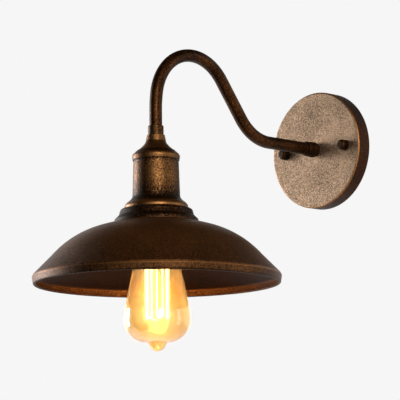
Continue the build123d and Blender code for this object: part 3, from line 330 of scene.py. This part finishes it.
def threaded_lathe(node, body, finish, frames, outline, thread, low, high):
    """Stands for a turned CAD node: the same outline, with its real right-handed screw thread.

    outline is a closed list of (radius, height, share) in millimetres; share is how much of the
    thread's depth that wall takes. The thread runs from low to high and fades over half a turn.
    """
    pitch, depth = thread
    built = bmesh.new()
    for place in frames:
        rings = []
        for here, after in zip(outline, outline[1:] + outline[:1]):
            steps = 1
            if here[2] and after[2]:
                steps = max(1, math.ceil(abs(after[1] - here[1]) * LEVELS / pitch))
            for step in range(steps):
                radius, height, share = (a + (b - a) * step / steps for a, b in zip(here, after))
                fade = max(0, min(1, (height - low) * 2 / pitch, (high - height) * 2 / pitch))
                rings.append(threaded_ring(built, place, radius, height, pitch,
                                           share * depth * fade))
        for ring, after in zip(rings, rings[1:] + rings[:1]):
            for i in range(SEGMENTS):
                j = (i + 1) % SEGMENTS
                built.faces.new((ring[i], ring[j], after[j], after[i]))
    # a stud's rings of no radius close to points, and the edge that joins them goes
    bmesh.ops.remove_doubles(built, verts=built.verts, dist=1e-7)
    bmesh.ops.delete(built, geom=[e for e in built.edges if not e.link_faces], context="EDGES")
    bmesh.ops.recalc_face_normals(built, faces=built.faces)
    data = bpy.data.meshes.new(node + "_threaded")
    built.to_mesh(data)
    built.free()
    data.polygons.foreach_set("use_smooth", [True] * len(data.polygons))
    data.set_sharp_from_angle(angle=SHARP_EDGE)
    data.materials.append(finish)
    piece = bpy.data.objects.new(node + "_threaded", data)
    bpy.context.scene.collection.objects.link(piece)
    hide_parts(node)
    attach(piece, body)


lamp = Matrix.Translation(LAMP_AXIS * MM)
# along the studs and the arm's nipple, height runs from the wall into the room
into_room = Matrix.Rotation(math.radians(90), 4, "X")

# the bulb's cap and its socket carry the same rolled wave, a running gap apart
cap_r, cap_bore_r, cap_flare_r, cap_lip_r = 13.1, 12.7, 13.6, 10.6
cap_top, cap_flare_top, cap_foot = -84.1, -103.6, -105.6
low, high = -101.4, -87.0
threaded_lathe("bulb_screw_shell", "bulb", nickel, [lamp], [
    (cap_lip_r, cap_top, 0), (12.7, cap_top, 0), (13.0, -84.25, 0), (cap_r, -84.6, 0),
    (cap_r, high, 1), (cap_r, low, 1), (cap_r, cap_flare_top, 0), (cap_flare_r, cap_foot, 0),
    (13.2, cap_foot, 0), (cap_bore_r, cap_flare_top, 0), (cap_bore_r, low, 1),
    (cap_bore_r, high, 1), (cap_bore_r, -84.5, 0), (cap_lip_r, -84.5, 0)],
    LAMP_CAP_THREAD, low, high)

shell_r, shell_bore_r, shell_flange_r = 13.9, 13.4, 10.4
shell_top, shell_foot = -78.6, -100.9
low, high = -100.0, -80.5
threaded_lathe("socket_screw_shell", "fixed", brass, [lamp], [
    (shell_flange_r, shell_top, 0), (13.5, shell_top, 0), (shell_r, -79.0, 0),
    (shell_r, high, 1), (shell_r, low, 1), (shell_r, shell_foot, 0),
    (shell_bore_r, shell_foot, 0), (shell_bore_r, low, 1), (shell_bore_r, high, 1),
    (shell_bore_r, -79.1, 0), (shell_flange_r, -79.1, 0)],
    LAMP_CAP_THREAD, low, high)

# the moulded holder's outside thread, which the shade ring runs on
holder_r, holder_top, mouth = 19.6, -62.0, -103.0
mouth_r, mouth_lip_top = 14.9, -101.2
shell_space_r, insert_space_r, insert_foot = 16.4, 17.6, -78.6
low, high = -101.0, -66.0
threaded_lathe("holder_shell", "fixed", phenolic, [lamp], [
    (holder_r, holder_top, 0), (holder_r, high, 1), (holder_r, low, 1), (holder_r, -102.1, 0),
    (18.7, mouth, 0), (15.5, mouth, 0), (15.1, -102.8, 0), (mouth_r, -102.4, 0),
    (mouth_r, mouth_lip_top, 0), (shell_space_r, mouth_lip_top, 0),
    (shell_space_r, insert_foot, 0), (insert_space_r, insert_foot, 0),
    (insert_space_r, holder_top, 0)],
    HOLDER_THREAD, low, high)

# M4 studs with round heads, one each side of the arm
stud_x, stud_r, stud_head_r = 41, 2.0, 3.8
head_top, head_seat, stud_tip = 1.7, 4.0, 21.8
low, high = 5.0, 21.2
threaded_lathe("plate_studs", "fixed", zinc,
               [Matrix.Translation((side * stud_x * MM, 0, 0)) @ into_room for side in (-1, 1)], [
    (0, head_top, 0), (3.03, head_top, 0), (3.58, 1.93, 0), (stud_head_r, 2.47, 0),
    (stud_head_r, head_seat, 0), (stud_r, head_seat, 0), (stud_r, low, 1), (stud_r, high, 1),
    (stud_r, 21.4, 0), (1.6, stud_tip, 0), (0, stud_tip, 0)],
    STUD_THREAD, low, high)

# M10 nipples, hollow for the leads
nipple_r, nipple_bore_r, nipple_chamfer = 5.0, 3.5, 0.4
nipple_end_r = nipple_r - nipple_chamfer
for node, place, foot, top in (("arm_nipple", into_room, 9.3, 25.5),
                               ("cup_nipple", lamp, -50.0, -7.0)):
    low, high = foot + nipple_chamfer, top - nipple_chamfer
    threaded_lathe(node, "fixed", zinc, [place], [
        (nipple_r, low, 1), (nipple_r, high, 1), (nipple_end_r, top, 0), (nipple_bore_r, top, 0),
        (nipple_bore_r, foot, 0), (nipple_end_r, foot, 0)],
        NIPPLE_THREAD, low, high)


# ---------------------------------------------------------------- studio
BACKGROUND = "#f6f6f6"
FLOOR_LEVEL = -0.9
BULB_LIGHT_LEVEL = -0.164


def area_lamp(name, place, aim, width, height, watts):
    light = bpy.data.lights.new(name, "AREA")
    light.shape = "RECTANGLE"
    light.size, light.size_y = width, height
    light.energy = watts
    holder = bpy.data.objects.new(name, light)
    holder.location = place
    holder.rotation_euler = (Vector(aim) - Vector(place)).to_track_quat("-Z", "Y").to_euler()
    holder.visible_transmission = False  # the bulb refracts the studio, not the lamps behind it
    bpy.context.scene.collection.objects.link(holder)


# a soft box to the left and a little behind the lamp, the key to the right of the camera, and a
# weak one far right, behind the wall's plane
target = (0, -0.2, -0.09)
area_lamp("left_softbox", (-1.5, -0.60, -0.05), target, 0.42, 1.0, 27)
area_lamp("key_right_of_camera", (1.50, -1.15, 0.45), target, 0.45, 1.0, 32)
area_lamp("far_right", (1.2, 0.7, 0.0), target, 0.5, 1.8, 6)

# a point of light inside the bulb, which warms the shade's inside
bulb_lamp = bpy.data.lights.new("bulb_light", "POINT")
bulb_lamp.energy = 0.6
bulb_lamp.color = linear("#ff8c28")[:3]
bulb_lamp.shadow_soft_size = 0.012
bulb_holder = bpy.data.objects.new("bulb_light", bulb_lamp)
bulb_holder.location = LAMP_AXIS * MM + Vector((0, 0, BULB_LIGHT_LEVEL))
bulb_holder.visible_camera = bulb_holder.visible_transmission = False
bpy.context.scene.collection.objects.link(bulb_holder)

world = bpy.data.worlds.new("studio")
bpy.context.scene.world = world
world.use_nodes = True
tree = world.node_tree
tree.nodes.clear()
# full strength to the camera, in reflections and through the glass, a little less as light
paths = add_node(tree, "ShaderNodeLightPath").outputs
seen = add_node(tree, "ShaderNodeMath", {"operation": "ADD"},
                {0: paths["Is Camera Ray"], 1: paths["Is Glossy Ray"]})
seen = add_node(tree, "ShaderNodeMath", {"operation": "ADD", "use_clamp": True},
                {0: seen.outputs[0], 1: paths["Is Transmission Ray"]})
strength = add_node(tree, "ShaderNodeMapRange", {"To Min": 0.8, "To Max": 1.0},
                    {"Value": seen.outputs[0]})
backdrop = add_node(tree, "ShaderNodeBackground", {"Color": linear(BACKGROUND)},
                    {"Strength": strength.outputs["Result"]})
add_node(tree, "ShaderNodeOutputWorld", links={"Surface": backdrop.outputs[0]})

bpy.ops.mesh.primitive_plane_add(size=8, location=(0, -0.5, FLOOR_LEVEL))
floor = bpy.context.object
floor.name = "studio_floor"
# matt paint: pale and without shine
material, tree = new_material("matt_studio_floor")
shader = add_node(tree, "ShaderNodeBsdfPrincipled",
                  {"Base Color": linear("#ededed"), "Roughness": 0.9})
finish_material(tree, shader.outputs[0])
floor.data.materials.append(material)

# Felt cards without shine, a black one half a metre left of the lamp and a dark brown one above
# it. Only reflections see them. They paint dark reflections onto the metal and give it its dark sides.
for name, colour, place, facing, width, height in (
        # each card's colour is the colour of the painted reflection it puts on the metal: black at the
        # left, brown over the dome
        ("dark_reflection_card_left", "#050505", (-0.163, -0.717, -0.1), (0.163, 0.473, 0), 0.58, 1.6),
        ("brown_reflection_card_overhead", "#54422c", (0.0, -0.1, 0.75), (0, 0, -1), 2.2, 2.2)):
    bpy.ops.mesh.primitive_plane_add(size=1)
    card = bpy.context.object
    card.name = name
    card.matrix_world = (Matrix.Translation(place)
                         @ Vector(facing).to_track_quat("Z", "Y").to_matrix().to_4x4()
                         @ Matrix.Diagonal((width, height, 1, 1)))
    felt, tree = new_material("felt_" + name)
    finish_material(tree, add_node(tree, "ShaderNodeBsdfPrincipled",
                                   {"Base Color": linear(colour), "Roughness": 1.0,
                                    "Specular IOR Level": 0.0}).outputs[0])
    card.data.materials.append(felt)
    card.visible_camera = card.visible_diffuse = False
    card.visible_transmission = card.visible_shadow = False

# the photograph's camera, from a fit of the lamp's known circles and levels
CAMERA_TURN = math.radians(45.018)
CAMERA_RISE = math.radians(8.495)
CAMERA_ROLL = math.radians(-0.594)
CAMERA_PLACE = Vector((1.790717, -1.974121, -0.446465))
SENSOR = 36.0
FOCAL_LENGTH_PIXELS = 2611.36
PHOTO_PIXELS = 400
ahead = Vector((-math.sin(CAMERA_TURN) * math.cos(CAMERA_RISE),
                math.cos(CAMERA_TURN) * math.cos(CAMERA_RISE), math.sin(CAMERA_RISE)))
level_right = Vector((math.cos(CAMERA_TURN), math.sin(CAMERA_TURN), 0))
level_up = level_right.cross(ahead)
right = math.cos(CAMERA_ROLL) * level_right + math.sin(CAMERA_ROLL) * level_up
up = -math.sin(CAMERA_ROLL) * level_right + math.cos(CAMERA_ROLL) * level_up
lens = bpy.data.cameras.new("photograph")
lens.sensor_width = SENSOR
lens.lens = SENSOR * FOCAL_LENGTH_PIXELS / PHOTO_PIXELS
lens.clip_end = 20
camera = bpy.data.objects.new("photograph", lens)
turn = Matrix((right, up, -ahead)).transposed()
camera.matrix_world = Matrix.Translation(CAMERA_PLACE) @ turn.to_4x4()
bpy.context.scene.collection.objects.link(camera)
bpy.context.scene.camera = camera

bpy.context.scene.view_settings.view_transform = "Standard"

bpy.context.view_layer.update()
